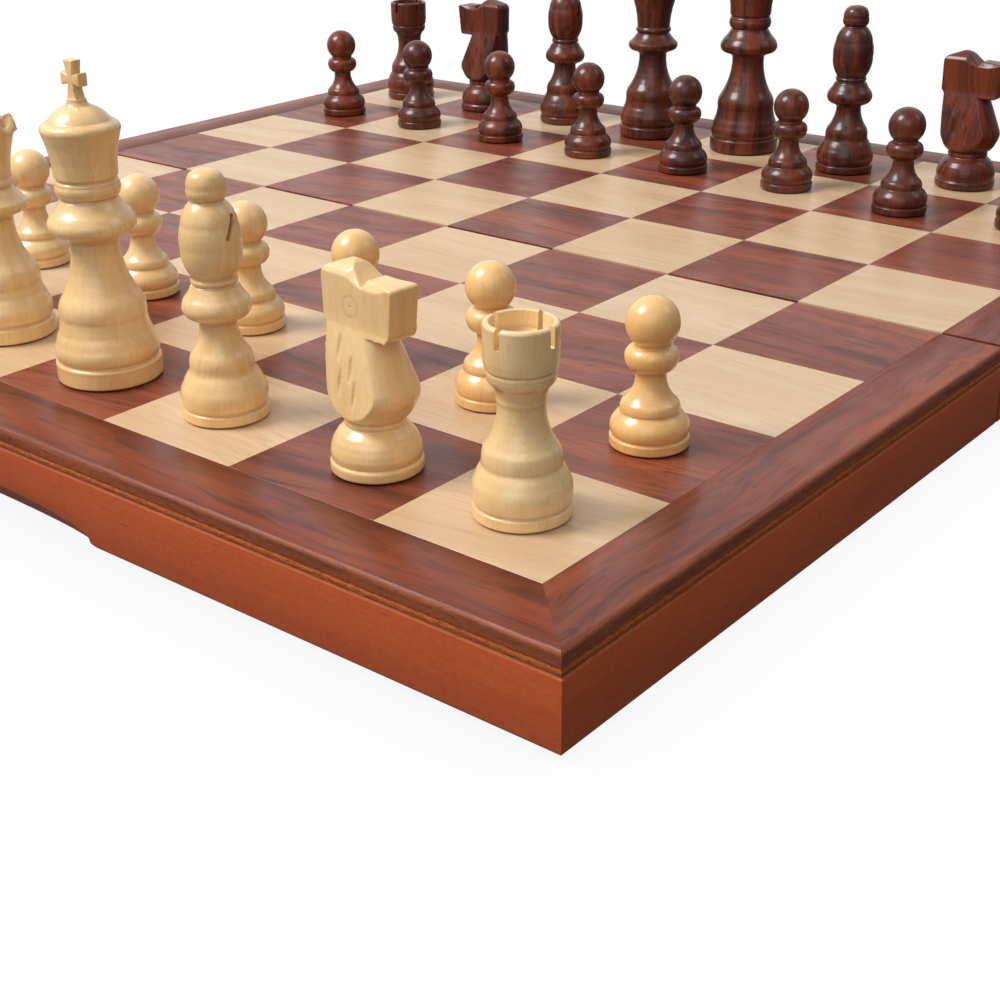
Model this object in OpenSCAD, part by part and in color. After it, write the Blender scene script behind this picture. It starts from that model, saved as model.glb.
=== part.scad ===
// Folding wooden chess set: a box board in two hinged halves, with 32 turned pieces.
// X runs from file a to file h, Y from rank 1 to rank 8 and Z up. The origin lies on
// the fold line, in the plane of the rims that the open board stands on.

/* [Board] */
// Side of one playing square
square = 43; // [38:1:50]
// Width of the veneer border around the squares
border = 18; // [15:1:24]
// Height from the rims to the playing surface
board_h = 21.2; // [20.4:0.4:28]
// Gap between the two halves when the board lies open
fold_gap = 1.6; // [1.2:0.1:2]
// Thickness of the panel that carries the squares
panel_t = 5.4; // [4.6:0.2:6]
// Thickness of the veneer on the panel
veneer_t = 0.8; // [0.6:0.1:1.2]
// Thickness of the rails
rail_t = 10; // [9:0.5:12]
// Thickness of the felt that lines each tray
felt_t = 1; // [0.6:0.1:1.5]

/* [Moulded edge] */
// How far the panel's edge stands back from the rails
edge_inset = 0.5; // [0.2:0.1:1]
// Radius of the panel's upper edge
edge_round = 1.4; // [0.8:0.1:2]
// Height of the plain band under the upper edge
band_h = 3.2; // [2.4:0.1:3.6]
// Depth of the cove routed under the band
cove_depth = 1; // [0.5:0.1:1.5]

/* [Finger scoop] */
// Half the length of the scoop, with its run-out
scoop_half = 66; // [50:1:80]
// Length of the shallow run-out at each end
scoop_runout = 8.8; // [6:0.2:12]
// Height of the scoop in the middle
scoop_h = 5.8; // [4.5:0.1:7]
// Height of the run-out where it meets the scoop
scoop_step = 0.9; // [0.5:0.1:1.4]
// Angle that the scoop's face falls away from level
scoop_tilt = 54; // [48:1:60]

/* [Hinges and closure] */
// Distance of each hinge from the middle of the board
hinge_x = 115; // [90:1:140]
// Length of a hinge
hinge_len = 25; // [20:5:35]
// Width of a hinge leaf, from the fold line
leaf_w = 9; // [8:0.5:10]
// Thickness of a hinge leaf
leaf_t = 0.8; // [0.6:0.1:1]
// Radius of the hinge knuckles
knuckle_r = 1.1; // [1:0.05:1.3]
// Radius of the hinge pins
pin_r = 0.55; // [0.5:0.05:0.6]
// Distance of each magnet from the middle of the outer rail
magnet_x = 95; // [85:1:150]
// Diameter of the magnets
magnet_d = 6; // [4:0.5:7]

/* [Chess pieces] */
// Height of a pawn
pawn_h = 34.4; // [30:0.2:40]
// Height of a rook
rook_h = 41.2; // [36:0.2:46]
// Height of a knight
knight_h = 46; // [44:0.5:50]
// Height of a bishop
bishop_h = 57.6; // [50:0.2:64]
// Height of a queen
queen_h = 68; // [62:0.5:74]
// Height of a king
king_h = 77; // [72:0.5:84]
// Colour of the light pieces
light_wood = "burlywood"; // [burlywood, wheat, tan]
// Colour of the dark pieces
dark_wood = "saddlebrown"; // [saddlebrown, sienna, maroon]

/* [Hidden] */
$fn = 64;
rail_h = board_h - panel_t;
half_w = 4 * square + border;
gap = fold_gap / 2;
squares_w = 4 * square;
outer_y = half_w + gap;
hinge_z = -0.05;
knuckle_gap = 0.1;
knuckle_count = 5;
knuckle_relief = 0.3;
pin_clearance = 0.05;
screw_spread = 8;
screw_y = 5.2;
screw_r = 0.9;
screw_head_r = 1.8;
screw_len = 7;
magnet_t = 3;
foot_gap = 0.02;
glue_t = 0.02;
pad_t = 0.3;
pad_inset = 0.6;
foot_t = pad_t + glue_t;
arc_step = 18;
files = ["a", "b", "c", "d", "e", "f", "g", "h"];
back_rank = ["rook", "knight", "bishop", "queen", "king", "bishop", "knight", "rook"];
// Pieces put down off the middle of their squares, with ranks and files counted from 0:
// [rank, file, shift in x, shift in y, turn]
put_down = [
    [0, 3, -5, 2, 0], [0, 4, -0.8, -1.4, 0], [0, 5, -1.4, -1.2, 0], [0, 6, 4.5, -1.8, -5],
    [0, 7, 0.2, -0.5, 0], [1, 2, -9, 3.7, 0], [1, 3, -2.2, 4.2, 0], [1, 4, 0.7, 2.2, 0],
    [1, 7, 0.9, 1.4, 0], [6, 6, 2.2, -4.7, 0], [7, 5, 3.6, -7, 0], [7, 6, 5.2, -2.6, 0]
];

// Name of the piece that starts on a rank, counted from 0, and a file
function piece_name(rank, file) =
    str(rank < 4 ? "white_" : "black_",
        rank == 1 || rank == 6 ? str("pawn_", files[file]) :
        file == 3 || file == 4 ? back_rank[file] : str(back_rank[file], "_", files[file]));

half_parts = ["outer_rail", "left_rail", "right_rail", "centre_rail", "panel",
    "border_veneer", "light_squares", "dark_squares", "felt_lining", "magnets",
    "left_hinge_leaf", "right_hinge_leaf", "hinge_screws"];

// Points of the arc from p to q, which turns through sweep degrees. A positive sweep
// bulges to the right of the way from p to q, and 0 is a straight line.
function arc(p, q, sweep) =
    sweep == 0 ? [q] :
    let (
        d = q - p,
        centre = (p + q) / 2 - [d[1], -d[0]] / 2 / tan(sweep / 2),
        n = ceil(abs(sweep) / arc_step)
    )
    [for (i = [1 : n])
        let (a = sweep * i / n, v = p - centre)
        centre + [v[0] * cos(a) - v[1] * sin(a), v[0] * sin(a) + v[1] * cos(a)]];

// Outline through rows of [x, y, sweep], where sweep is the arc that leads to the row
function outline(rows) =
    [for (i = [0 : len(rows) - 1])
        let (q = [rows[i][0], rows[i][1]])
        each i == 0 ? [q] : arc([rows[i - 1][0], rows[i - 1][1]], q, rows[i][2])];

// Height of the tallest row of [radius, height, sweep]
function top(rows) = max([for (r = rows) r[1]]);

// A solid turned to the rows, from the foot up, and closed along its axis. Its height
// is stretched to h.
module turned(rows, h) {
    k = h / top(rows);
    rotate_extrude($fn = 96)
        polygon(concat([[0, rows[0][1] * k]], outline([for (r = rows) [r[0], r[1] * k, r[2]]])));
}

// ---- Board --------------------------------------------------------------

// Places a part of the front half, or the same part turned round for the rear half
module on_half(rear) {
    rotate(rear ? 180 : 0)
        children();
}

// Section that the router takes off the panel's edge: x inwards from the rail's face
module edge_cut() {
    cove_top = band_h + 0.2;
    polygon(concat(
        [[-1, 1], [edge_inset + edge_round, 1]],
        outline([
            [edge_inset + edge_round, 0],
            [edge_inset, -edge_round, 90],
            [edge_inset, -band_h, 0],
            [edge_inset + cove_depth, -cove_top, 0],
            [edge_inset, 0.3 - panel_t, 100],
            [edge_inset, -panel_t - 1, 0]
        ]),
        [[-1, -panel_t - 1]]
    ));
}

// The front half's panel and veneer in one block, with its three moulded edges
module panel_block() {
    cut_w = 2 * half_w + 2;
    difference() {
        translate([-half_w, -outer_y, rail_h])
            cube([2 * half_w, half_w, panel_t]);
        translate([cut_w / 2, -outer_y, board_h])
            rotate([90, 0, 90])
            mirror([0, 0, 1])
            linear_extrude(cut_w) edge_cut();
        for (side = [0, 1])
            mirror([side, 0, 0])
            translate([-half_w, 1, board_h])
            rotate([90, 0, 0])
            linear_extrude(outer_y + 2) edge_cut();
    }
}

module veneer_slab() {
    translate([-half_w, -outer_y, board_h - veneer_t])
        cube([2 * half_w, half_w, veneer_t]);
}

module panel() {
    color("peru")
    difference() {
        panel_block();
        veneer_slab();
    }
}

// One strip of the mitred border: 0 is the outer strip, -1 and 1 are the side strips.
// A glue line parts the strips along the mitres.
module border_mitre(strip) {
    inner_y = squares_w + gap;
    points = strip == 0
        ? [[glue_t - half_w, -outer_y], [half_w - glue_t, -outer_y],
            [squares_w - glue_t, -inner_y], [glue_t - squares_w, -inner_y]]
        : [[strip * half_w, -outer_y], [strip * half_w, -gap],
            [strip * squares_w, -gap], [strip * squares_w, -inner_y]];
    translate([0, 0, board_h - veneer_t])
        linear_extrude(veneer_t) polygon(points);
}

module border_veneer() {
    color("sienna")
    for (strip = [-1 : 1])
        intersection() {
            panel_block();
            border_mitre(strip);
        }
}

// The squares of one tone on the front half: tone is 0 for light and 1 for dark
module squares(tone) {
    color(tone == 0 ? "wheat" : "sienna")
    for (file = [0 : 7], rank = [0 : 3])
        if ((file + rank + 1 + tone) % 2 == 0)
            translate([(file - 4) * square, (rank - 4) * square - gap, board_h - veneer_t])
                cube([square, square, veneer_t]);
}

// Edge of the scoop, measured square to its falling face
function scoop_edge(x) =
    let (a = scoop_half - scoop_runout, t = abs(x) / a)
    cos(scoop_tilt) * (abs(x) >= a
        ? scoop_step * pow((scoop_half - abs(x)) / scoop_runout, 2)
        : scoop_step + (scoop_h - scoop_step) * pow(1 - pow(t, 2.5), 0.4));

module scoop_cut() {
    points = [for (i = [-32 : 32])
        let (x = scoop_half * sin(90 * i / 32))
        [x, scoop_edge(x)]];
    translate([0, -outer_y, 0])
        rotate([90 - scoop_tilt, 0, 0])
        linear_extrude(24, center = true)
        polygon(concat([[-scoop_half, -9]], points, [[scoop_half, -9]]));
}

module outer_rail() {
    color("brown")
    difference() {
        linear_extrude(rail_h)
            polygon([[-half_w, -outer_y], [half_w, -outer_y],
                [half_w - rail_t, rail_t - outer_y], [rail_t - half_w, rail_t - outer_y]]);
        scoop_cut();
        for (side = [-1, 1])
            magnet_shape(side);
    }
}

// A side rail, on the left where side is -1 and on the right where it is 1
module side_rail(side) {
    color("brown")
    linear_extrude(rail_h)
        polygon([[side * half_w, -outer_y], [side * half_w, -gap],
            [side * (half_w - rail_t), -gap], [side * (half_w - rail_t), rail_t - outer_y]]);
}

module centre_rail() {
    color("brown")
    difference() {
        translate([rail_t - half_w, -rail_t - gap, 0])
            cube([2 * (half_w - rail_t), rail_t, rail_h]);
        for (side = [-1, 1]) {
            translate([side * hinge_x - hinge_len / 2, -leaf_w, 0])
                cube([hinge_len, leaf_w, leaf_t]);
            translate([side * hinge_x, 0, hinge_z])
                rotate([0, 90, 0])
                cylinder(h = hinge_len + 1, r = knuckle_r + knuckle_relief, center = true);
            for (end = [-1, 1])
                screw_shape(side * hinge_x + end * screw_spread);
        }
    }
}

module felt_lining() {
    inside = half_w - rail_t;
    color("darkgreen")
    translate([-inside, rail_t - half_w - gap, rail_h - felt_t])
        cube([2 * inside, half_w - 2 * rail_t, felt_t]);
}

module magnet_shape(side) {
    translate([side * magnet_x, rail_t / 2 - outer_y, 0])
        cylinder(h = magnet_t, d = magnet_d);
}

module magnets() {
    color("silver")
    for (side = [-1, 1])
        magnet_shape(side);
}

// ---- Hinges -------------------------------------------------------------

// A countersunk screw at x, pointing up into the centre rail
module screw_shape(x) {
    translate([x, -screw_y, 0]) {
        cylinder(h = screw_head_r - screw_r, r1 = screw_head_r, r2 = screw_r);
        cylinder(h = screw_len, r = screw_r);
    }
}

module hinge_screws() {
    color("gold")
    for (side = [-1, 1], end = [-1, 1])
        screw_shape(side * hinge_x + end * screw_spread);
}

// Every second knuckle, from the one numbered first, with extra room around it
module knuckles(first, extra) {
    pitch = hinge_len / knuckle_count;
    for (i = [first : 2 : knuckle_count - 1])
        translate([i * pitch - hinge_len / 2 + knuckle_gap / 2 - extra, 0, hinge_z])
            rotate([0, 90, 0])
            cylinder(h = pitch - knuckle_gap + 2 * extra, r = knuckle_r + extra);
}

// The front leaves have knuckles 0, 2 and 4 and hold the pin, the rear ones 1 and 3
module hinge_leaf(side, first) {
    bore_r = first == 0 ? pin_r : pin_r + pin_clearance;
    color("gold")
    difference() {
        translate([side * hinge_x, 0, 0])
            difference() {
                union() {
                    translate([-hinge_len / 2, -leaf_w, 0])
                        cube([hinge_len, leaf_w - knuckle_r / 2, leaf_t]);
                    knuckles(first, 0);
                }
                knuckles(1 - first, knuckle_gap);
                translate([0, 0, hinge_z])
                    rotate([0, 90, 0])
                    cylinder(h = hinge_len + 2, r = bore_r, center = true);
            }
        for (end = [-1, 1])
            screw_shape(side * hinge_x + end * screw_spread);
    }
}

module hinge_pin(side) {
    color("silver")
    translate([side * hinge_x, 0, hinge_z])
        rotate([0, 90, 0])
        cylinder(h = hinge_len, r = pin_r, center = true);
}

// ---- Chess pieces -------------------------------------------------------

pawn_rows = [
    [8.5, 0, 0], [9, 0.5, 90], [9, 1.9, 0], [8.5, 2.5, 90], [8.6, 2.9, -90],
    [8.2, 6.4, 62], [6.7, 8, 20], [6.3, 10.3, 40], [3.4, 16.6, -52], [3.45, 17.3, 0],
    [6, 20.6, 75], [4.15, 23.2, 78], [4.15, 24, -60], [6, 28.4, 47], [0, 34.4, 90]
];

// The last three rows are the cup in the rook's crown
rook_rows = [
    [9.8, 0, 0], [10.3, 0.5, 90], [10.3, 2, 0], [9.8, 2.6, 90], [10, 3.1, -90],
    [9.6, 8.4, 50], [8.2, 10.9, 20], [7.85, 14.2, 24], [4.9, 23.4, -40], [5.05, 24.8, 30],
    [6, 27.3, -30], [7.1, 29.4, 60], [6.9, 30.3, 60], [7.3, 30.7, -60],
    [7.65, 34.5, 14], [7.65, 38.9, 0], [6.9, 39.8, 90], [6.3, 39.6, 60],
    [6, 36.1, 0], [0, 35.6, 0]
];

bishop_rows = [
    [9.7, 0, 0], [10.2, 0.5, 90], [10.2, 2, 0], [9.7, 2.6, 90], [9.9, 3.1, -90],
    [9.4, 8.2, 50], [7.8, 11.1, 16], [7.5, 12.6, -30], [6.9, 15.4, 30], [4.3, 22.8, -38],
    [6.2, 24, -40], [8, 26.5, 70], [7.4, 28.4, 24], [5.5, 31.4, -20], [4.9, 31.9, -90],
    [5.2, 33.1, 120], [5.4, 34.1, -60], [7, 40.4, 36], [6.45, 45.6, 26], [4.2, 50.4, 40],
    [3.8, 51, -80], [4.4, 53.6, 70], [3.6, 56.7, 40], [0, 57.6, 60]
];

queen_rows = [
    [11.7, 0, 0], [12.3, 0.6, 90], [12.3, 3.3, 0], [11.7, 4.2, 90], [11.9, 4.9, -90],
    [11.6, 9.4, 48], [10.5, 11.8, 14], [10, 14.2, -8], [9.4, 18.4, 38], [5.3, 31.6, -40],
    [8.2, 33.2, -46], [9.4, 36, 96], [6.4, 39.4, -20], [6.1, 39.9, -60], [6.6, 41.6, 110],
    [6.3, 42.4, -60], [9.4, 55.4, -22], [8.5, 57.2, 60], [6.6, 56.6, 20],
    [5.2, 58.2, -30], [2.4, 60.8, 50], [2, 61.6, -60], [3.3, 64.6, 84], [0, 68, 90]
];

// The king up to the foot of its cross
king_rows = [
    [12.3, 0, 0], [12.9, 0.6, 90], [12.9, 4, 0], [12.3, 5, 90], [12.4, 5.7, -90],
    [12.2, 9.5, 52], [11.1, 12.5, 14], [10.5, 15.9, -8], [9.9, 20.2, 40], [5.9, 34.8, -36],
    [9, 36.5, -50], [10.4, 39.8, 96], [9.4, 41.5, 10], [7.1, 44.6, -24], [6.7, 45.4, -60],
    [7.5, 46.3, 90], [7.5, 48.5, 60], [7.1, 49.4, 60], [7.5, 50.2, -60], [9.3, 61, -18],
    [8.6, 62.6, 70], [7.4, 63.2, 20], [3, 66.6, 40], [2.2, 68.2, -60], [0, 68.2, 0]
];

// Half the outline of the king's cross, which sinks a little into its foot
cross_rows = [[0, -0.4], [1.7, -0.4], [1.2, 2.4], [1, 3.5], [2.4, 3.1], [3.3, 2.9],
    [3.3, 6.1], [2.4, 5.8], [1, 5.4], [1.3, 6.8], [1.7, 8.8], [0, 8.8]];
cross_t = 2.6;

// The knight's foot, vase and neck, which tapers up to the throat
knight_rows = [
    [9.8, 0, 0], [10.3, 0.5, 90], [10.3, 2, 0], [9.7, 2.6, 90], [9.9, 3.1, -90],
    [9.8, 5.8, 34], [8.3, 8.9, 26], [6.7, 10.3, -14], [6.5, 10.8, -70], [6.7, 11.5, 110],
    [6.5, 12, -60], [9.3, 15.6, 42], [10.1, 18.2, 24], [9.4, 20.6, 24], [5.2, 31, 0],
    [0, 31, 0]
];
throat_z = top(knight_rows);

// The domed blank that the knight's head and the back of its neck are sawn from
head_rows = [
    [10.1, 18, 0], [10.35, 24, 8], [10.35, 31.6, 0], [11.3, 33, 0], [11.5, 42.2, 0],
    [10.5, 44, 50], [5, 46, 12], [0, 46, 0]
];

// The knight's profile: x forwards along its nose, then height
profile_rows = [
    [0.6, 18, 0], [0.6, throat_z, 0], [8.8, throat_z, 0], [9.9, 32.8, 30],
    [10.9, 42, 0], [10.3, 42.7, 60], [2.4, 43.1, 0], [1.8, 41.4, 0], [-2.6, 45.5, 0],
    [-4, 46.2, 0], [-12, 46.2, 0], [-12, 18, 0]
];

// Half the knight's thickness between its flats, then height, up to the ridge of its head
flat_rows = [
    [8.4, 9.4], [7.65, 14], [6.55, 20.6], [5.6, 26], [4.5, 30.6], [4.05, 32.4],
    [3.96, 34], [3.96, 43.1], [3.3, 44.1], [1.9, 45.2], [0.6, 46]
];

function flat_y(z) = lookup(z, [for (r = flat_rows) [r[1], r[0]]]);

// Seen from the front: the flats rise from the vase to the ridge
module knight_flats() {
    right = concat([[12, -1], [12, flat_rows[0][1]]], flat_rows, [[0.6, 47]]);
    rotate([90, 0, 90])
        linear_extrude(26, center = true)
        polygon(concat(right, [for (i = [len(right) - 1 : -1 : 0]) [-right[i][0], right[i][1]]]));
}

module knight_head() {
    intersection() {
        turned(head_rows, top(head_rows));
        rotate([90, 0, 0])
            linear_extrude(24, center = true)
            polygon(outline(profile_rows));
    }
}

// Places a cut on one flat at [x, z], square to the flat
module on_flat(side, at) {
    lean = flat_y(at[1] - 0.5) - flat_y(at[1] + 0.5);
    translate([at[0], side * flat_y(at[1]), at[1]])
        rotate([side * (atan(lean) - 90), 0, 0])
        children();
}

// The hollow bevel from the brow, across the notch and along the muzzle's edge
module brow_cut(side) {
    bevel = 54;
    arc_r = 20;
    translate([3.9, side * flat_y(41.2), 41.2])
        rotate([-side * bevel, 0, 0])
        translate([0, 0, arc_r])
        rotate([90, 0, 0])
        cylinder(h = 12, r = arc_r, center = true);
}

// The ringed eye, its centre mark and the mane gouges on one side
module knight_cuts(side) {
    eye_r = 2.4;
    line_w = 0.3;
    gouge_r = 13;
    gouge_depth = 0.42;
    on_flat(side, [-1.8, 36.8]) {
        difference() {
            cylinder(h = 0.36, r = eye_r, center = true);
            cylinder(h = 1, r = eye_r - line_w, center = true);
        }
        cylinder(h = 0.5, r = line_w, center = true);
    }
    for (at = [[-4.6, 27.4], [-3.4, 20.6], [-0.4, 24], [1.2, 18.6]])
        on_flat(side, at)
        translate([0, 0, gouge_r - gouge_depth])
        rotate([0, 90, 0])
        cylinder(h = 1.1, r = gouge_r, center = true);
    brow_cut(side);
}

module pawn_wood() {
    turned(pawn_rows, pawn_h - foot_t);
}

module rook_wood() {
    slot_w = 1.3;
    slot_h = 4.2;
    difference() {
        turned(rook_rows, rook_h - foot_t);
        for (turn = [0 : 90 : 270])
            rotate(turn)
            translate([5, -slot_w / 2, rook_h - foot_t - slot_h])
            cube([5, slot_w, slot_h + 1]);
    }
}

module knight_wood() {
    scale((knight_h - foot_t) / top(head_rows))
    difference() {
        intersection() {
            union() {
                turned(knight_rows, throat_z);
                knight_head();
            }
            knight_flats();
        }
        for (side = [-1, 1])
            knight_cuts(side);
    }
}

module bishop_wood() {
    kerf = 1.2;
    kerf_turn = 5;
    kerf_tilt = 32;
    kerf_len = 6.2;
    difference() {
        turned(bishop_rows, bishop_h - foot_t);
        rotate(kerf_turn)
            translate([3.4, 0, 0.79 * bishop_h])
            rotate([-kerf_tilt, 0, 0])
            translate([0, -kerf / 2, -kerf_len / 2])
            cube([5, kerf, kerf_len]);
    }
}

module queen_wood() {
    notches = 9;
    notch_r = 1.9;
    notch_tilt = 62;
    difference() {
        turned(queen_rows, queen_h - foot_t);
        for (i = [1 : notches])
            rotate(i * 360 / notches)
            translate([9.6, 0, 0.86 * queen_h])
            rotate([0, -notch_tilt, 0])
            cylinder(h = 7, r = notch_r, center = true);
    }
}

module king_wood() {
    foot_z = king_h - foot_t - top(cross_rows);
    left = [for (i = [len(cross_rows) - 2 : -1 : 1]) [-cross_rows[i][0], cross_rows[i][1]]];
    union() {
        turned(king_rows, foot_z);
        translate([0, cross_t / 2, foot_z])
            rotate([90, 0, 0])
            linear_extrude(cross_t)
            polygon(concat(cross_rows, left));
    }
}

module piece_wood(kind) {
    if (kind == "pawn") pawn_wood();
    if (kind == "rook") rook_wood();
    if (kind == "knight") knight_wood();
    if (kind == "bishop") bishop_wood();
    if (kind == "queen") queen_wood();
    if (kind == "king") king_wood();
}

function foot_radius(kind) =
    kind == "pawn" ? pawn_rows[0][0] : kind == "king" ? king_rows[0][0] :
    kind == "queen" ? queen_rows[0][0] : rook_rows[0][0];

// A chess piece on its starting square, with a felt pad under its foot
module piece(rank, file) {
    kind = rank == 1 || rank == 6 ? "pawn" : back_rank[file];
    found = [for (p = put_down) if (p[0] == rank && p[1] == file) p];
    shift = len(found) > 0 ? found[0] : [rank, file, 0, 0, 0];
    faces_left = kind == "knight" && file == 1;
    x = (file - 3.5) * square + shift[2];
    y = (rank - 3.5) * square + (rank < 4 ? -gap : gap) + shift[3];
    translate([x, y, board_h + foot_gap])
        rotate(faces_left ? 180 : shift[4]) {
            color("darkgreen") cylinder(h = pad_t, r = foot_radius(kind) - pad_inset);
            color(rank < 4 ? light_wood : dark_wood)
                translate([0, 0, foot_t])
                piece_wood(kind);
        }
}

// ---- Assembly -----------------------------------------------------------

for (rear = [false, true]) {
    half = rear ? "rear_" : "front_";
    left = rear ? 1 : -1;
    first = rear ? 1 : 0;
    on_half(rear) {
        outer_rail();
        side_rail(left);
        side_rail(-left);
        centre_rail();
        panel();
        border_veneer();
        squares(0);
        squares(1);
        felt_lining();
        magnets();
        hinge_leaf(left, first);
        hinge_leaf(-left, first);
        hinge_screws();
    }
}
hinge_pin(-1);  // left_hinge_pin
hinge_pin(1);  // right_hinge_pin
for (rank = [0, 1, 6, 7], file = [0 : 7])
    piece(rank, file);
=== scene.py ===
import math
import random

import bmesh
import bpy
import numpy as np
from mathutils import Matrix, Quaternion, Vector, noise


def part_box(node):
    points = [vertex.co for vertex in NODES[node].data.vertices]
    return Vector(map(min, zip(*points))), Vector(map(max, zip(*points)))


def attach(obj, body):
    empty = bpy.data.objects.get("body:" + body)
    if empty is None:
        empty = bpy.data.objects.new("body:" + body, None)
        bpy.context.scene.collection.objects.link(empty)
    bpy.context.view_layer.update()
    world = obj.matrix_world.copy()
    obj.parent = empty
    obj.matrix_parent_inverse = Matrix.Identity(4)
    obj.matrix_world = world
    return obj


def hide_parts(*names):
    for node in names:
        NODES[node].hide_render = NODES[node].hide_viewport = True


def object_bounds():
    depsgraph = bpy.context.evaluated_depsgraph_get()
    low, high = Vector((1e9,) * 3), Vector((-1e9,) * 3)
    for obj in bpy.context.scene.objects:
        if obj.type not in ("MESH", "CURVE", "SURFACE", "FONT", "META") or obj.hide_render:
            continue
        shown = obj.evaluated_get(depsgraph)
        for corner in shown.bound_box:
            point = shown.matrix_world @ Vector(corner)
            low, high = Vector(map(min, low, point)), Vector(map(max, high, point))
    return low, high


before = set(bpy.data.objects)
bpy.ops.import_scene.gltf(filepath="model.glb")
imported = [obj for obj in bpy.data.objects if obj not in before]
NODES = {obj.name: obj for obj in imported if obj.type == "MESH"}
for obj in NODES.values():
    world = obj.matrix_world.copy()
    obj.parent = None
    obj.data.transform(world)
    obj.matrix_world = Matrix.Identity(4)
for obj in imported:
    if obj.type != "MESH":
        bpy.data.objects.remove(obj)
CAD_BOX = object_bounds()
MM = 0.001


# ---- Measures in millimetres, from the CAD nodes where they have them --------

def span(node):
    """The box of a CAD node in millimetres."""
    lo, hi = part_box(node)
    return lo / MM, hi / MM


rail_lo, rail_hi = span("front_outer_rail")
squares_lo, squares_hi = span("front_light_squares")
panel_hi = span("front_panel")[1]
centre_hi = span("front_centre_rail")[1]
felt_lo, felt_hi = span("front_felt_lining")
HALF_W = rail_hi.x
OUTER_Y = -rail_lo.y
RAIL_H = rail_hi.z
RAIL_T = HALF_W - centre_hi.x
SQUARE = (squares_hi.x - squares_lo.x) / 8
GAP = -squares_hi.y
BOARD_H = squares_hi.z
VENEER_T = squares_hi.z - squares_lo.z
INSET = HALF_W - panel_hi.x
PANEL_T = BOARD_H - RAIL_H
EDGE_ROUND = 1.4
BAND_H = 3.2
COVE_DEPTH = 1.0
GLUE = 0.02
PAD_T = 0.3
PAD_INSET = 0.6


# ---- Outlines ---------------------------------------------------------------

def arc(p, q, sweep, step=6):
    """Points of the arc from p to q; a positive sweep bulges to the right of the way."""
    if sweep == 0:
        return [q]
    s = math.radians(sweep)
    dx, dy = q[0] - p[0], q[1] - p[1]
    cx = (p[0] + q[0]) / 2 - dy / 2 / math.tan(s / 2)
    cy = (p[1] + q[1]) / 2 + dx / 2 / math.tan(s / 2)
    n = math.ceil(abs(sweep) / step)
    made = []
    for i in range(1, n + 1):
        c, t = math.cos(s * i / n), math.sin(s * i / n)
        x, y = p[0] - cx, p[1] - cy
        made.append((cx + x * c - y * t, cy + x * t + y * c))
    return made


def outline(rows, step=6):
    """Points through rows of (x, y, sweep), where sweep is the arc that leads to the row."""
    points = [rows[0][:2]]
    for row in rows[1:]:
        points += arc(points[-1], row[:2], row[2], step)
    return points


def soften(points, radius, least=22):
    """Rounds the corners of an open line that turn by more than least degrees."""
    made = [points[0]]
    for i in range(1, len(points) - 1):
        a, b, c = (Vector(points[j]) for j in (i - 1, i, i + 1))
        before, after = b - a, c - b
        turn = math.degrees(before.angle(after, 0))
        if turn < least:
            made.append(points[i])
            continue
        start = b - before.normalized() * min(radius, 0.45 * before.length)
        end = b + after.normalized() * min(radius, 0.45 * after.length)
        for k in range(5):
            t = k / 4
            p = start * (1 - t) ** 2 + b * 2 * t * (1 - t) + end * t ** 2
            made.append((p.x, p.y))
    return made + [points[-1]]


def spaced(points, longest):
    """The line with every stretch over longest cut into equal parts."""
    made = [points[0]]
    for p, q in zip(points, points[1:]):
        n = max(1, math.ceil(math.dist(p, q) / longest))
        made += [tuple(a + (b - a) * k / n for a, b in zip(p, q)) for k in range(1, n + 1)]
    return made


# ---- Meshes -----------------------------------------------------------------

def write(mesh, name, kind, values):
    """Writes one value for each point, which the materials read."""
    field = "vector" if kind == "FLOAT_VECTOR" else "value"
    data = (mesh.attributes.get(name) or mesh.attributes.new(name, kind, "POINT")).data
    data.foreach_set(field, np.asarray(values, np.float32).ravel())


def linked(name, data):
    """A new object in the scene."""
    made = bpy.data.objects.new(name, data)
    bpy.context.scene.collection.objects.link(made)
    return made


def make(name, verts, faces, grain, tint=0.0, groove=None, at=(0, 0, 0)):
    """A piece from points in millimetres. grain is (along, across, depth) for each point."""
    mesh = bpy.data.meshes.new(name)
    mesh.from_pydata([Vector(v) * MM for v in verts], [], faces)
    mesh.validate()
    dress(mesh, grain, tint, groove)
    finish_shade(mesh, 35)
    piece = linked(name, mesh)
    piece.location = Vector(at) * MM
    return piece


def dress(mesh, grain, tint=0.0, groove=None):
    count = len(mesh.vertices)
    write(mesh, "grain", "FLOAT_VECTOR", grain)
    write(mesh, "tint", "FLOAT", np.broadcast_to(tint, count))
    write(mesh, "groove", "FLOAT", np.zeros(count) if groove is None else groove)


def finish_shade(mesh, smooth):
    mesh.shade_smooth()
    mesh.set_sharp_from_angle(angle=math.radians(smooth))


def outward(piece, smooth, weld=False):
    """Turns every face outward, and shades angles up to smooth degrees as round."""
    bm = bmesh.new()
    bm.from_mesh(piece.data)
    if weld:
        bmesh.ops.remove_doubles(bm, verts=bm.verts, dist=1e-7)
    bmesh.ops.recalc_face_normals(bm, faces=bm.faces)
    bm.to_mesh(piece.data)
    bm.free()
    finish_shade(piece.data, smooth)


def sweep(stations, ring):
    """Joins stations x ring points, where each ring is closed, and caps both ends."""
    faces = []
    for s in range(stations - 1):
        a, b = s * ring, (s + 1) * ring
        faces += [(a + i, a + (i + 1) % ring, b + (i + 1) % ring, b + i) for i in range(ring)]
    far = (stations - 1) * ring
    faces += [tuple(range(ring - 1, -1, -1)), tuple(far + i for i in range(ring))]
    return faces


def turned_round(points, rear):
    """The front half's points, or the same turned round to the rear half."""
    return [(-x, -y, z) for x, y, z in points] if rear else points


def half_name(rear):
    return "rear" if rear else "front"


def place(piece, body, slot, *nodes):
    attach(piece, body)
    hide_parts(*nodes)
    return piece


# ---- Materials --------------------------------------------------------------

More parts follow.
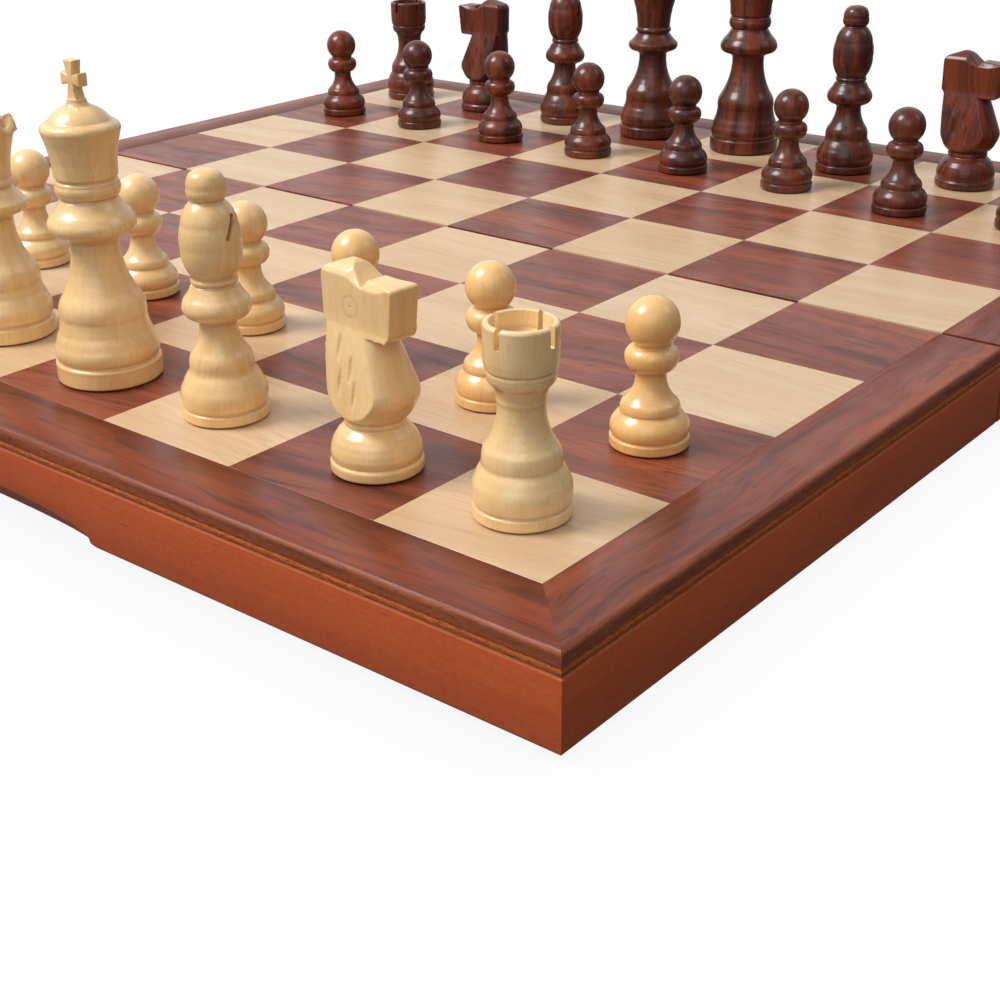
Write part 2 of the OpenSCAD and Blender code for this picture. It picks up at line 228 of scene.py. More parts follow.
class Graph:
    """A material's nodes, with short calls for the ones used here."""

    def __init__(self, name):
        self.material = bpy.data.materials.new(name)
        self.material.use_nodes = True
        self.tree = self.material.node_tree
        self.shader = self.tree.nodes["Principled BSDF"]

    def put(self, socket, value):
        if isinstance(value, bpy.types.NodeSocket):
            self.tree.links.new(value, socket)
        elif isinstance(value, tuple) and len(value) == 3 and socket.type == "RGBA":
            socket.default_value = (*value, 1)
        else:
            socket.default_value = value

    def node(self, kind, settings=None, **inputs):
        made = self.tree.nodes.new("ShaderNode" + kind)
        for key, value in (settings or {}).items():
            setattr(made, key, value)
        for key, value in inputs.items():
            self.put(made.inputs[key], value)
        return made

    def math(self, operation, a, b=0.0, c=0.0, clamp=False):
        made = self.node("Math", {"operation": operation, "use_clamp": clamp})
        for socket, value in zip(made.inputs, (a, b, c)):
            self.put(socket, value)
        return made.outputs[0]

    def vector(self, operation, a, b):
        made = self.node("VectorMath", {"operation": operation})
        self.put(made.inputs[0], a)
        self.put(made.inputs[1], b)
        return made.outputs[0]

    def noise(self, at, stretch, detail=2.0, rough=0.5, distortion=0.0):
        vector = self.vector("MULTIPLY", at, stretch)
        made = self.node("TexNoise", Vector=vector, Scale=1.0, Detail=detail,
                         Roughness=rough, Distortion=distortion)
        return made.outputs["Fac"]

    def band(self, value, low, high, out_low=0.0, out_high=1.0):
        """value mapped from low..high to out_low..out_high with soft ends."""
        made = self.node("MapRange", {"interpolation_type": "SMOOTHSTEP"})
        for key, number in zip(("Value", "From Min", "From Max", "To Min", "To Max"),
                               (value, low, high, out_low, out_high)):
            self.put(made.inputs[key], number)
        return made.outputs["Result"]

    def mix(self, share, a, b, blend="MIX"):
        made = self.node("Mix", {"data_type": "RGBA", "blend_type": blend})
        self.put(made.inputs[0], share)
        self.put(made.inputs[6], a)
        self.put(made.inputs[7], b)
        return made.outputs[2]

    def finish(self, colour, roughness, height, depth_mm, **plain):
        """Sets the shader. Plain values go straight on its sockets."""
        bump = self.node("Bump", Height=height, Strength=1.0, Distance=depth_mm * MM)
        self.put(self.shader.inputs["Base Color"], colour)
        self.put(self.shader.inputs["Roughness"], roughness)
        self.put(self.shader.inputs["Normal"], bump.outputs["Normal"])
        for key, value in plain.items():
            self.put(self.shader.inputs[key.replace("_", " ")], value)
        return self.material


def rgb(r, g, b):
    """A colour written as the eye sees it, 0 to 255, as linear light."""
    return tuple((c / 255 / 12.92) if c < 11 else ((c / 255 + 0.055) / 1.055) ** 2.4
                 for c in (r, g, b))


# Painted shade for the pieces: their colour is multiplied by this tint, by this share of the groove value,
# in creases, cut walls and the knight's hollows.
CREASE_SHADE_TINT, CREASE_SHADE_SHARE = (0.5, 0.3, 0.15), 0.22


def wood(name, pale, deep, streak, fleck, streaks, warm=None, grain=None,
         fibres=(0.05, 2.4, 2.4), figure=0.5, streak_share=0.7, line_share=0.4, sway_mm=9.0,
         twist=0.8, contrast=0.06, flecks=(0.22, 5.0, 5.0), fleck_least=0.66, fleck_share=0.5,
         roughness=0.32, depth_mm=0.02, **plain):
    """Lacquered wood: broad figure, dark streaks, thin lines, fibres and short dark pores. With a warm tint
    it also gets painted shade in its creases and cuts.
    """
    g = Graph(name)
    if grain is None:
        at = g.node("Attribute", {"attribute_name": "grain"}).outputs["Vector"]
    else:
        at = grain(g)
    sway = g.noise(at, (0.02, 0.05, 0.05), 2.0)
    sway = g.math("MULTIPLY_ADD", sway, sway_mm, -sway_mm / 2)
    lift = g.node("CombineXYZ", Y=sway, Z=sway).outputs[0]
    bent = g.vector("ADD", at, lift)
    broad = g.noise(bent, tuple(0.35 * s for s in streaks), 3.0, 0.6, 0.4)
    lines = g.noise(bent, streaks, 5.0, 0.62, twist)
    thin = g.noise(bent, (streaks[0] * 2.2, streaks[1] * 5, streaks[2] * 5), 4.0, 0.66, 0.6 * twist)
    fibre = g.noise(bent, fibres, 3.0, 0.6)
    pores = g.noise(at, flecks, 1.0, 0.5)
    colour = g.mix(g.band(broad, 0.5 - figure * 0.3, 0.5 + figure * 0.3), pale, deep)
    colour = g.mix(g.math("MULTIPLY", g.band(lines, 0.5, 0.68), streak_share), colour, streak)
    colour = g.mix(g.math("MULTIPLY", g.band(thin, 0.5, 0.64), line_share), colour, streak)
    shade = g.band(fibre, 0.25, 0.75, 1 - contrast, 1 + 0.6 * contrast)
    warmer = g.math("POWER", shade, 1.6)
    colour = g.mix(1.0, colour, g.node("CombineColor", Red=shade, Green=warmer,
                                       Blue=warmer).outputs[0], "MULTIPLY")
    dots = g.math("MULTIPLY", g.band(pores, fleck_least, fleck_least + 0.07), fleck_share)
    colour = g.mix(dots, colour, fleck)
    if warm is not None:
        tint = g.node("Attribute", {"attribute_name": "tint"}).outputs["Fac"]
        colour = g.mix(tint, colour, g.mix(1.0, colour, warm, "MULTIPLY"))
        # Painted shade: the groove value darkens creases, the walls of cuts and the knight's hollows, and
        # it also marks the knight's scribed eye.
        crease = g.node("Attribute", {"attribute_name": "groove"}).outputs["Fac"]
        crease = g.math("MULTIPLY", crease, CREASE_SHADE_SHARE, clamp=True)
        colour = g.mix(crease, colour, g.mix(1.0, colour, CREASE_SHADE_TINT, "MULTIPLY"))
    shine = g.noise(at, (0.08, 0.15, 0.15), 3.0)
    rough = g.band(shine, 0.3, 0.7, roughness - 0.05, roughness + 0.06)
    height = g.math("MULTIPLY_ADD", fibre, 0.5, g.math("MULTIPLY", dots, -0.8))
    return g.finish(colour, rough, height, depth_mm, **plain)


def along_x(g):
    """Grain coordinates in millimetres for a CAD node whose grain runs along X."""
    at = g.node("TexCoord").outputs["Object"]
    return g.vector("MULTIPLY", at, (1000.0, 1000.0, 1000.0))


LIGHT_PIECE = wood(
    "boxwood", rgb(245, 213, 158), rgb(236, 199, 140), rgb(222, 176, 114), rgb(172, 116, 62),
    warm=(1.0, 0.84, 0.62), streaks=(0.012, 0.3, 0.3), fibres=(0.06, 3.2, 3.2),
    streak_share=0.26, line_share=0.2, contrast=0.03, fleck_share=0.2, roughness=0.4,
    depth_mm=0.012, Coat_Weight=0.8, Coat_Roughness=0.17)
DARK_PIECE = wood(
    "walnut", rgb(118, 50, 22), rgb(66, 26, 12), rgb(38, 16, 10), rgb(22, 10, 7),
    warm=(1.15, 0.9, 0.75), streaks=(0.012, 0.4, 0.4), streak_share=0.8, line_share=0.5,
    contrast=0.12, roughness=0.36, Coat_Weight=0.4, Coat_Roughness=0.16,
    Specular_IOR_Level=0.35)
MAPLE = wood(
    "maple_veneer", rgb(216, 188, 155), rgb(206, 175, 141), rgb(196, 152, 116), rgb(162, 108, 70),
    warm=(1.0, 0.95, 0.86), streaks=(0.008, 0.22, 0.22), fibres=(0.04, 3.4, 3.4),
    streak_share=0.28, line_share=0.42, contrast=0.035, fleck_share=0.2, roughness=0.34)
ROSEWOOD = wood(
    "rosewood_veneer", rgb(156, 82, 54), rgb(112, 56, 42), rgb(68, 34, 32), rgb(52, 28, 26),
    warm=(0.72, 0.47, 0.34), streaks=(0.008, 0.2, 0.2), fibres=(0.04, 3.2, 3.2),
    figure=0.8, streak_share=0.62, line_share=0.5, sway_mm=14.0, twist=0.35, contrast=0.14,
    flecks=(0.12, 5.0, 5.0), fleck_least=0.7, fleck_share=0.3, roughness=0.34,
    Specular_IOR_Level=0.42)
RAIL_LOOK = dict(
    pale=rgb(184, 85, 42), deep=rgb(172, 76, 38), streak=rgb(146, 62, 34), fleck=rgb(92, 40, 24),
    streaks=(0.01, 0.1, 0.1), fibres=(0.7, 1.3, 1.3), streak_share=0.2, line_share=0.16,
    contrast=0.09, flecks=(0.13, 1.3, 1.3), fleck_least=0.73, fleck_share=0.55,
    roughness=0.46, Specular_IOR_Level=0.42)
RAIL = wood("stained_rail", warm=(1.0, 0.94, 0.86), **RAIL_LOOK)
INNER_RAIL = wood("stained_inner_rail", grain=along_x, **RAIL_LOOK)
BAND = wood(
    "stained_edge", rgb(152, 80, 46), rgb(130, 66, 40), rgb(98, 51, 35), rgb(64, 33, 24),
    warm=(1.0, 1.0, 1.0), streaks=(0.02, 0.6, 0.6), fibres=(0.5, 2.6, 2.6), contrast=0.16,
    flecks=(0.5, 2.6, 2.6), fleck_least=0.64, roughness=0.5, Specular_IOR_Level=0.3)
CORE = wood(
    "panel_core", rgb(176, 128, 82), rgb(160, 112, 70), rgb(130, 88, 52), rgb(96, 62, 36),
    warm=(1.0, 1.0, 1.0), streaks=(0.05, 0.05, 0.4), roughness=0.6)


def cove_finish():
    """The routed cove: raw, stained fibres with torn pits; lighter along the upper arris, partly paler wood
    and partly a painted highlight; painted shade towards the lower edge and in the pits.
    """
    g = Graph("routed_cove")
    at = g.node("Attribute", {"attribute_name": "grain"}).outputs["Vector"]
    coarse = g.noise(at, (0.6, 1.6, 1.6), 4.0, 0.65)
    fine = g.noise(at, (2.2, 4.0, 4.0), 3.0, 0.6)
    level = g.node("SeparateXYZ", Vector=at).outputs["Z"]
    pit = g.node("Attribute", {"attribute_name": "groove"}).outputs["Fac"]
    colour = g.mix(g.band(coarse, 0.35, 0.65), rgb(206, 110, 46), rgb(164, 78, 34))
    colour = g.mix(g.math("MULTIPLY", g.band(fine, 0.5, 0.7), 0.6), colour, rgb(112, 50, 24))
    # Painted shade: darker towards the lower edge of the cove.
    colour = g.mix(g.band(level, -4.6, -3.6, 0.55, 0.0), colour, rgb(96, 48, 24))
    # Lighter along the upper arris: partly paler wood, partly a painted highlight.
    colour = g.mix(g.band(level, -3.7, -3.35, 0.0, 0.8), colour, rgb(238, 176, 104))
    # Painted shade in the torn pits, deepest where the router tore deepest.
    colour = g.mix(g.math("MULTIPLY", pit, 0.95, clamp=True), colour, rgb(44, 20, 12))
    rough = g.band(fine, 0.3, 0.7, 0.6, 0.88)
    return g.finish(colour, rough, g.math("ADD", coarse, fine), 0.12, Specular_IOR_Level=0.25)


def felt_finish(name, pale, deep):
    """Pressed felt: matted short fibres with a soft nap."""
    g = Graph(name)
    at = g.node("Attribute", {"attribute_name": "grain"}).outputs["Vector"]
    mat = g.noise(at, (1.1, 1.1, 1.1), 6.0, 0.7, 1.5)
    fuzz = g.noise(at, (6.0, 6.0, 6.0), 2.0, 0.6, 2.0)
    cloud = g.noise(at, (0.05, 0.05, 0.05), 2.0)
    colour = g.mix(g.band(mat, 0.35, 0.65), pale, deep)
    colour = g.mix(g.math("MULTIPLY", g.band(cloud, 0.4, 0.6), 0.25), colour, deep)
    height = g.math("MULTIPLY_ADD", mat, 0.7, fuzz)
    return g.finish(colour, g.band(fuzz, 0.3, 0.7, 0.88, 1.0), height, 0.12,
                    Sheen_Weight=0.35, Sheen_Roughness=0.5)


def metal(name, pale, deep, spots, roughness, scratch):
    """Metal with drawn scratches and faint dull spots."""
    g = Graph(name)
    at = g.vector("MULTIPLY", g.node("TexCoord").outputs["Object"], (1000.0,) * 3)
    lines = g.noise(at, scratch, 4.0, 0.7)
    cloud = g.noise(at, (0.35, 0.35, 0.35), 4.0, 0.6)
    colour = g.mix(g.band(cloud, 0.35, 0.7), pale, deep)
    dull = g.band(g.noise(at, (1.6, 1.6, 1.6), 3.0), 0.6, 0.72)
    colour = g.mix(g.math("MULTIPLY", dull, 0.4), colour, spots)
    rough = g.math("ADD", g.band(lines, 0.3, 0.7, roughness - 0.06, roughness + 0.1),
                   g.math("MULTIPLY", dull, 0.15))
    return g.finish(colour, rough, lines, 0.01, Metallic=1.0)


COVE = cove_finish()
FELT = felt_finish("green_felt", rgb(38, 84, 56), rgb(24, 60, 40))
BRASS = metal("drawn_brass", rgb(214, 176, 96), rgb(190, 148, 74), rgb(120, 88, 44), 0.32,
              (0.3, 6.0, 6.0))
STEEL = metal("pin_steel", rgb(190, 190, 186), rgb(160, 160, 158), rgb(112, 104, 96), 0.3,
              (0.4, 6.0, 6.0))
MAGNET = metal("plated_magnet", rgb(176, 178, 180), rgb(146, 148, 152), rgb(96, 92, 90), 0.35,
               (2.0, 2.0, 0.5))


# ---- Board ------------------------------------------------------------------

def glued_strip(profile, side, stations):
    """A straight strip on one edge of the front half. Its outer ends are mitred.
    side 0 lies along the front; -1 and 1 along the left and right. profile is (u, z),
    with u inwards from the rail's face. Returns points and grain."""
    verts, grain = [], []
    for s in range(stations + 1):
        t = s / stations
        for u, z in profile:
            if side == 0:
                x = (2 * t - 1) * (HALF_W - u - GLUE)
                verts.append((x, u - OUTER_Y, z))
                grain.append((x, u, z))
            else:
                y = (u - OUTER_Y) * (1 - t) - GAP * t
                verts.append((side * (HALF_W - u), y, z))
                grain.append((y, u, z))
    return verts, grain


def joined(parts):
    """Several (points, faces, grain, tint) as one."""
    verts, faces, grain, tint = [], [], [], []
    for v, f, g, t in parts:
        faces += [tuple(i + len(verts) for i in face) for face in f]
        verts += v
        grain += list(g)
        tint += [t] * len(v)
    return verts, faces, grain, tint


def rail_profile(h=0.0, deep=0.0):
    """The outer rail's section, (u, z). h and deep are the scoop's height and depth there."""
    r = 0.35
    low = max(h, r)
    foot = max(deep, r)
    corner = [(0.0, low + 0.25), (0.03, low + 0.1), (0.12, low - 0.03)]
    heel = [(foot - 0.12, 0.1), (foot, 0.02), (foot + 0.2, 0.0)]
    return ([(RAIL_T, RAIL_H), (0.3, RAIL_H), (0.09, RAIL_H - 0.09), (0.0, RAIL_H - 0.3)]
            + corner + heel + [(RAIL_T - 0.3, 0.0), (RAIL_T, 0.3)])


SCOOP_HALF, SCOOP_RUNOUT, SCOOP_H, SCOOP_STEP, SCOOP_TILT = 66.0, 8.8, 5.8, 0.9, 54.0


def scoop(x):
    """(height, depth) of the finger scoop at x."""
    flank = SCOOP_HALF - SCOOP_RUNOUT
    if abs(x) >= SCOOP_HALF:
        return 0.0, 0.0
    if abs(x) >= flank:
        h = SCOOP_STEP * ((SCOOP_HALF - abs(x)) / SCOOP_RUNOUT) ** 2
    else:
        h = SCOOP_STEP + (SCOOP_H - SCOOP_STEP) * (1 - (abs(x) / flank) ** 2.5) ** 0.4
    return h, h / math.tan(math.radians(SCOOP_TILT))


def outer_rail(seed):
    inner = HALF_W - RAIL_T - 1
    flank = SCOOP_HALF - SCOOP_RUNOUT
    cut = [SCOOP_HALF * math.sin(math.radians(90 * i / 60)) for i in range(61)]
    cut += [flank - d for d in (0.02, 0.1, 0.3, 0.7, 1.3, 2.2)] + [flank]
    right = sorted(set(round(x, 4) for x in cut + [SCOOP_HALF + 6 * k for k in range(1, 18)]
                       + [inner] if x <= inner))
    xs = [-HALF_W] + [-x for x in reversed(right) if x > 0] + right + [HALF_W]
    verts, grain = [], []
    for x0 in xs:
        profile = rail_profile(*scoop(x0))
        for u, z in profile:
            x = math.copysign(min(abs(x0), HALF_W - u - GLUE), x0)
            verts.append((x, u - OUTER_Y, z))
            grain.append((x + seed, z, u + seed))
    return verts, sweep(len(xs), len(profile)), grain


def moulding():
    """The panel's routed edge below the veneer, (u, z) from the veneer down."""
    centre = INSET + EDGE_ROUND
    level = EDGE_ROUND - VENEER_T
    start = math.degrees(math.acos(level / EDGE_ROUND))
    round_over = [(centre - EDGE_ROUND * math.sin(math.radians(a)),
                   -EDGE_ROUND + EDGE_ROUND * math.cos(math.radians(a)))
                  for a in np.linspace(start, 90, 5)]
    groove = outline([(INSET, -BAND_H, 0), (INSET + COVE_DEPTH, -BAND_H - 0.2, 0),
                      (INSET, 0.3 - PANEL_T, 100), (INSET, -PANEL_T, 0)], 7)
    return round_over, soften(groove, 0.08, 40)


def panel(rear):
    """The panel: a board moulded on three sides, whose cove is torn by the router."""
    round_over, groove = moulding()
    band = round_over + spaced([round_over[-1], groove[0]], 0.6)[1:-1]
    profile = band + groove
    first_cove = len(band) + 1
    step = 0.7
    path = []
    inner = 6.0
    n = int((OUTER_Y - GAP - inner) / step)
    m = int(2 * (HALF_W - inner) / step)
    for i in range(n + 1):
        path.append(("left", i / n))
    for i in range(m + 1):
        path.append(("front", i / m))
    for i in range(n + 1):
        path.append(("right", i / n))
    verts, grain, pits = [], [], []
    for where, t in path:
        for k, (u, z) in enumerate(profile):
            cove = k >= first_cove and k < len(profile) - 1
            if where == "left":
                y = -GAP + t * (inner - OUTER_Y + GAP)
                a = y
            elif where == "right":
                y = inner - OUTER_Y + t * (OUTER_Y - GAP - inner)
                a = y + 700
            else:
                a = (2 * t - 1) * (HALF_W - inner) + 300
            tear = 0.0
            if cove:
                seed = Vector((a * 0.9, k * 0.35, 40.0 * rear))
                tear = 0.10 * noise.noise(seed) + 0.16 * max(0.0, noise.noise(seed * 2.3) - 0.1)
            uu = u + max(-0.02, tear)
            if where == "left":
                verts.append((uu - HALF_W, y, BOARD_H + z))
            elif where == "right":
                verts.append((HALF_W - uu, y, BOARD_H + z))
            else:
                x = (2 * t - 1) * (HALF_W - inner)
                verts.append((x, uu - OUTER_Y, BOARD_H + z))
            grain.append((a, u * 3, z))
            # How deep each point is torn sets the painted shade of its pit in the cove's colour.
            pits.append(min(1.0, max(0.0, tear - 0.05) * 9))
    # The corner stations are pulled out to the mitre, where both sides meet.
    ring = len(profile)
    for c, sx in ((n, -1), (n + 1 + m, 1)):
        for k in range(ring):
            for s in (c, c + 1):
                x, y, z = verts[s * ring + k]
                u = profile[k][0]
                verts[s * ring + k] = (sx * (HALF_W - u), u - OUTER_Y, z)
    faces = []
    slots = []
    for s in range(len(path) - 1):
        if s in (n, n + 1 + m):
            continue
        for k in range(ring - 1):
            a, b = s * ring + k, (s + 1) * ring + k
            faces.append((a, b, b + 1, a + 1))
            slots.append(1 if k < first_cove - 1 else 2 if k < ring - 2 else 0)
    last = (len(path) - 1) * ring
    faces.append(tuple(s * ring for s in range(len(path) - 1, -1, -1)))
    faces.append(tuple(s * ring + ring - 1 for s in range(len(path))))
    faces.append(tuple(k for k in range(ring)) + tuple(last + k for k in range(ring - 1, -1, -1)))
    slots += [0, 0, 0]
    name = half_name(rear) + "_panel"
    piece = make(name + "_moulded", turned_round(verts, rear), faces, grain, groove=pits)
    for material in (CORE, BAND, COVE):
        piece.data.materials.append(material)
    for f, s in zip(piece.data.polygons, slots):
        f.material_index = s
    outward(piece, 40, weld=True)
    return place(piece, half_name(rear) + "_half", "panel_core", name)


def border(rear, rng):
    """Three mitred strips of veneer, rounded over with the panel's edge."""
    centre = INSET + EDGE_ROUND
    stop = math.degrees(math.acos((EDGE_ROUND - VENEER_T) / EDGE_ROUND))
    edge = [(centre - EDGE_ROUND * math.sin(math.radians(a)),
             BOARD_H - EDGE_ROUND + EDGE_ROUND * math.cos(math.radians(a)))
            for a in np.linspace(0, stop, 7)]
    inner_u = HALF_W - 4 * SQUARE
    low = BOARD_H - VENEER_T
    profile = [(inner_u, low), (inner_u, BOARD_H - 0.04), (inner_u - 0.05, BOARD_H)]
    profile += [(6.0, BOARD_H), *edge]
    parts = []
    for side in (0, -1, 1):
        verts, grain = glued_strip(profile, side, 60)
        shift = np.array([rng.uniform(0, 900), rng.uniform(0, 300), rng.uniform(0, 90)])
        tint = 1.0 if side == 0 else 0.35
        parts.append((verts, sweep(61, len(profile)), np.array(grain) + shift, tint))
    verts, faces, grain, tint = joined(parts)
    name = half_name(rear) + "_border_veneer"
    piece = make(name + "_strips", turned_round(verts, rear), faces, grain, tint)
    outward(piece, 50)
    piece.data.materials.append(ROSEWOOD)
    piece.data.materials.append(BAND)
    rim = (BOARD_H - 0.05) * MM
    for f in piece.data.polygons:
        highest = max(piece.data.vertices[i].co.z for i in f.vertices)
        f.material_index = 1 if f.normal.z < 0.8 and highest < rim else 0
    return place(piece, half_name(rear) + "_half", "dark_veneer", name)


def squares(rear, light, rng):
    """Veneer tiles with a hairline chamfer, each cut from its own stretch of wood."""
    parts = []
    c = 0.05
    for file in range(8):
        for rank in range(4):
            if (file + rank + 1) % 2 != (0 if light else 1):
                continue
            x, y = (file - 4) * SQUARE, (rank - 4) * SQUARE - GAP
            rings = [(0, BOARD_H - VENEER_T), (0, BOARD_H - 0.8 * c), (c, BOARD_H)]
            verts = [(x + dx, y + dy, z) for inset, z in rings
                     for dx, dy in ((inset, inset), (SQUARE - inset, inset),
                                    (SQUARE - inset, SQUARE - inset), (inset, SQUARE - inset))]
            shift = np.array([rng.uniform(0, 2000), rng.uniform(0, 900), rng.uniform(0, 90)])
            lean = math.radians(rng.uniform(-9, 9))
            grain = [(vx * math.cos(lean) - vy * math.sin(lean),
                      vx * math.sin(lean) + vy * math.cos(lean), vz) for vx, vy, vz in verts]
            parts.append((verts, sweep(3, 4), np.array(grain) + shift, rng.uniform(0, 1 if light else 0.3)))
    verts, faces, grain, tint = joined(parts)
    tone = "light" if light else "dark"
    name = f"{half_name(rear)}_{tone}_squares"
    piece = make(name + "_veneer", turned_round(verts, rear), faces, grain, tint)
    outward(piece, 30)
    piece.data.materials.append(MAPLE if light else ROSEWOOD)
    return place(piece, half_name(rear) + "_half", f"{tone}_veneer", name)


def rails(rear, rng):
    half = half_name(rear)
    verts, faces, grain = outer_rail(rng.uniform(0, 900))
    piece = make(f"{half}_outer_rail_scooped", turned_round(verts, rear), faces, grain, rng.uniform(0, 1))
    outward(piece, 40)
    piece.data.materials.append(RAIL)
    place(piece, half_name(rear) + "_half", "rail_wood", f"{half}_outer_rail")
    for side in (-1, 1):
        profile = rail_profile()
        verts, grain = glued_strip(profile, side, 40)
        shift = rng.uniform(0, 900)
        grain = [(a + shift, z, u + shift) for a, u, z in grain]
        on_left = (side < 0) != rear
        name = f"{half}_{'left' if on_left else 'right'}_rail"
        piece = make(name + "_mitred", turned_round(verts, rear), sweep(41, len(profile)), grain,
                     rng.uniform(0, 1))
        outward(piece, 40)
        piece.data.materials.append(RAIL)
        place(piece, half_name(rear) + "_half", "rail_wood", name)


def felt_sheet(rear):
    """The tray's lining: a thin sheet that lies a little unevenly in its glue."""
    nx, ny = 180, 80
    lo, hi = felt_lo, felt_hi
    verts, faces, grain = [], [], []
    for layer, z in enumerate((hi.z, lo.z)):
        for i in range(nx + 1):
            for j in range(ny + 1):
                x = lo.x + (hi.x - lo.x) * i / nx
                y = lo.y + (hi.y - lo.y) * j / ny
                edge = min(i, nx - i, j, ny - j)
                rise = 0.0
                if layer:
                    rise = 0.06 * (1 + noise.noise(Vector((x * 0.3, y * 0.3, 5.0))))
                    rise += 0.04 * (1 + noise.noise(Vector((x * 0.04, y * 0.04, 9.0))))
                    rise += 0.35 if edge == 0 else 0
                verts.append((x, y, z + rise))
                grain.append((x, y, z + 50 * rear))
    count = (nx + 1) * (ny + 1)
    at = lambda i, j: i * (ny + 1) + j
    for i in range(nx):
        for j in range(ny):
            quad = (at(i, j), at(i + 1, j), at(i + 1, j + 1), at(i, j + 1))
            faces += [quad, tuple(count + k for k in reversed(quad))]
    loop = ([at(i, 0) for i in range(nx)] + [at(nx, j) for j in range(ny)]
            + [at(i, ny) for i in range(nx, 0, -1)] + [at(0, j) for j in range(ny, 0, -1)])
    faces += [(a, count + a, count + b, b) for a, b in zip(loop, loop[1:] + loop[:1])]
    name = half_name(rear) + "_felt_lining"
    piece = make(name + "_sheet", turned_round(verts, rear), faces, grain)
    outward(piece, 50)
    piece.data.materials.append(FELT)
    place(piece, half_name(rear) + "_half", "felt", name)


rng = random.Random(7)
for rear in (False, True):
    panel(rear)
    border(rear, rng)
    squares(rear, True, rng)
    squares(rear, False, rng)
    rails(rear, rng)
    felt_sheet(rear)


def refinish(node, material, bevel_mm):
    """A CAD node that stays: a better material, and softened edges."""
    piece = NODES[node]
    piece.data.materials.clear()
    piece.data.materials.append(material)
    if bevel_mm:
        bevel = piece.modifiers.new("soft_edges", "BEVEL")
        bevel.width = bevel_mm * MM
        bevel.segments = 2
        bevel.limit_method = "ANGLE"
        bevel.angle_limit = math.radians(40)


for half in ("front", "rear"):
    refinish(f"{half}_centre_rail", INNER_RAIL, 0.2)
    refinish(f"{half}_magnets", MAGNET, 0.15)
    refinish(f"{half}_hinge_screws", BRASS, 0)
    for side in ("left", "right"):
        refinish(f"{half}_{side}_hinge_leaf", BRASS, 0.06)
for side in ("left", "right"):
    refinish(f"{side}_hinge_pin", STEEL, 0.1)


# ---- Chess pieces -----------------------------------------------------------

ROWS = {
    "pawn": [
        (8.5, 0, 0), (9, 0.5, 90), (9, 1.9, 0), (8.5, 2.5, 90), (8.6, 2.9, -90),
        (8.2, 6.4, 62), (6.7, 8, 20), (6.3, 10.3, 40), (3.4, 16.6, -52), (3.45, 17.3, 0),
        (6, 20.6, 75), (4.15, 23.2, 78), (4.15, 24, -60), (6, 28.4, 47), (0, 34.4, 90)],
    "rook": [
        (9.8, 0, 0), (10.3, 0.5, 90), (10.3, 2, 0), (9.8, 2.6, 90), (10, 3.1, -90),
        (9.6, 8.4, 50), (8.2, 10.9, 20), (7.85, 14.2, 24), (4.9, 23.4, -40), (5.05, 24.8, 30),
        (6, 27.3, -30), (7.1, 29.4, 60), (6.9, 30.3, 60), (7.3, 30.7, -60), (7.65, 34.5, 14),
        (7.65, 35.6, 0), (7.65, 38.9, 0), (6.9, 39.8, 90), (6.3, 39.6, 60), (6, 36.1, 0),
        (5.2, 35.8, 0), (0, 35.6, 0)],
    "bishop": [
        (9.7, 0, 0), (10.2, 0.5, 90), (10.2, 2, 0), (9.7, 2.6, 90), (9.9, 3.1, -90),
        (9.4, 8.2, 50), (7.8, 11.1, 16), (7.5, 12.6, -30), (6.9, 15.4, 30), (4.3, 22.8, -38),
        (6.2, 24, -40), (8, 26.5, 70), (7.4, 28.4, 24), (5.5, 31.4, -20), (4.9, 31.9, -90),
        (5.2, 33.1, 120), (5.4, 34.1, -60), (7, 40.4, 36), (6.45, 45.6, 26), (4.2, 50.4, 40),
        (3.8, 51, -80), (4.4, 53.6, 70), (3.6, 56.7, 40), (0, 57.6, 60)],
    "queen": [
        (11.7, 0, 0), (12.3, 0.6, 90), (12.3, 3.3, 0), (11.7, 4.2, 90), (11.9, 4.9, -90),
        (11.6, 9.4, 48), (10.5, 11.8, 14), (10, 14.2, -8), (9.4, 18.4, 38), (5.3, 31.6, -40),
        (8.2, 33.2, -46), (9.4, 36, 96), (6.4, 39.4, -20), (6.1, 39.9, -60), (6.6, 41.6, 110),
        (6.3, 42.4, -60), (9.4, 55.4, -22), (8.5, 57.2, 60), (6.6, 56.6, 20), (5.2, 58.2, -30),
        (2.4, 60.8, 50), (2, 61.6, -60), (3.3, 64.6, 84), (0, 68, 90)],
    "king": [
        (12.3, 0, 0), (12.9, 0.6, 90), (12.9, 4, 0), (12.3, 5, 90), (12.4, 5.7, -90),
        (12.2, 9.5, 52), (11.1, 12.5, 14), (10.5, 15.9, -8), (9.9, 20.2, 40), (5.9, 34.8, -36),
        (9, 36.5, -50), (10.4, 39.8, 96), (9.4, 41.5, 10), (7.1, 44.6, -24), (6.7, 45.4, -60),
        (7.5, 46.3, 90), (7.5, 48.5, 60), (7.1, 49.4, 60), (7.5, 50.2, -60), (9.3, 61, -18),
        (8.6, 62.6, 70), (7.4, 63.2, 20), (3, 66.6, 40), (2.2, 68.2, -60), (0, 68.2, 0)],
}
CROSS = [(0, -0.4), (1.7, -0.4), (1.2, 2.4), (1, 3.5), (2.4, 3.1), (3.3, 2.9),
         (3.3, 6.1), (2.4, 5.8), (1, 5.4), (1.3, 6.8), (1.7, 8.8), (0, 8.8)]
CROSS_T = 2.6
KNIGHT_FOOT_R = 9.8
ROOK_SLOT_W, ROOK_SLOT_H = 1.3, 4.2
KERF, KERF_LEN, KERF_IN, KERF_SHARE = 1.2, 6.2, 3.4, 0.79
KERF_TURN, KERF_TILT = 5, 32
EYE_AT = (-1.8, 36.5)
EYE_R = 2.25
HEADING = {"white_knight_g": -5}
SCALLOPS, SCALLOP_DEPTH, SCALLOP_SHARE = 9, 2.1, 0.82
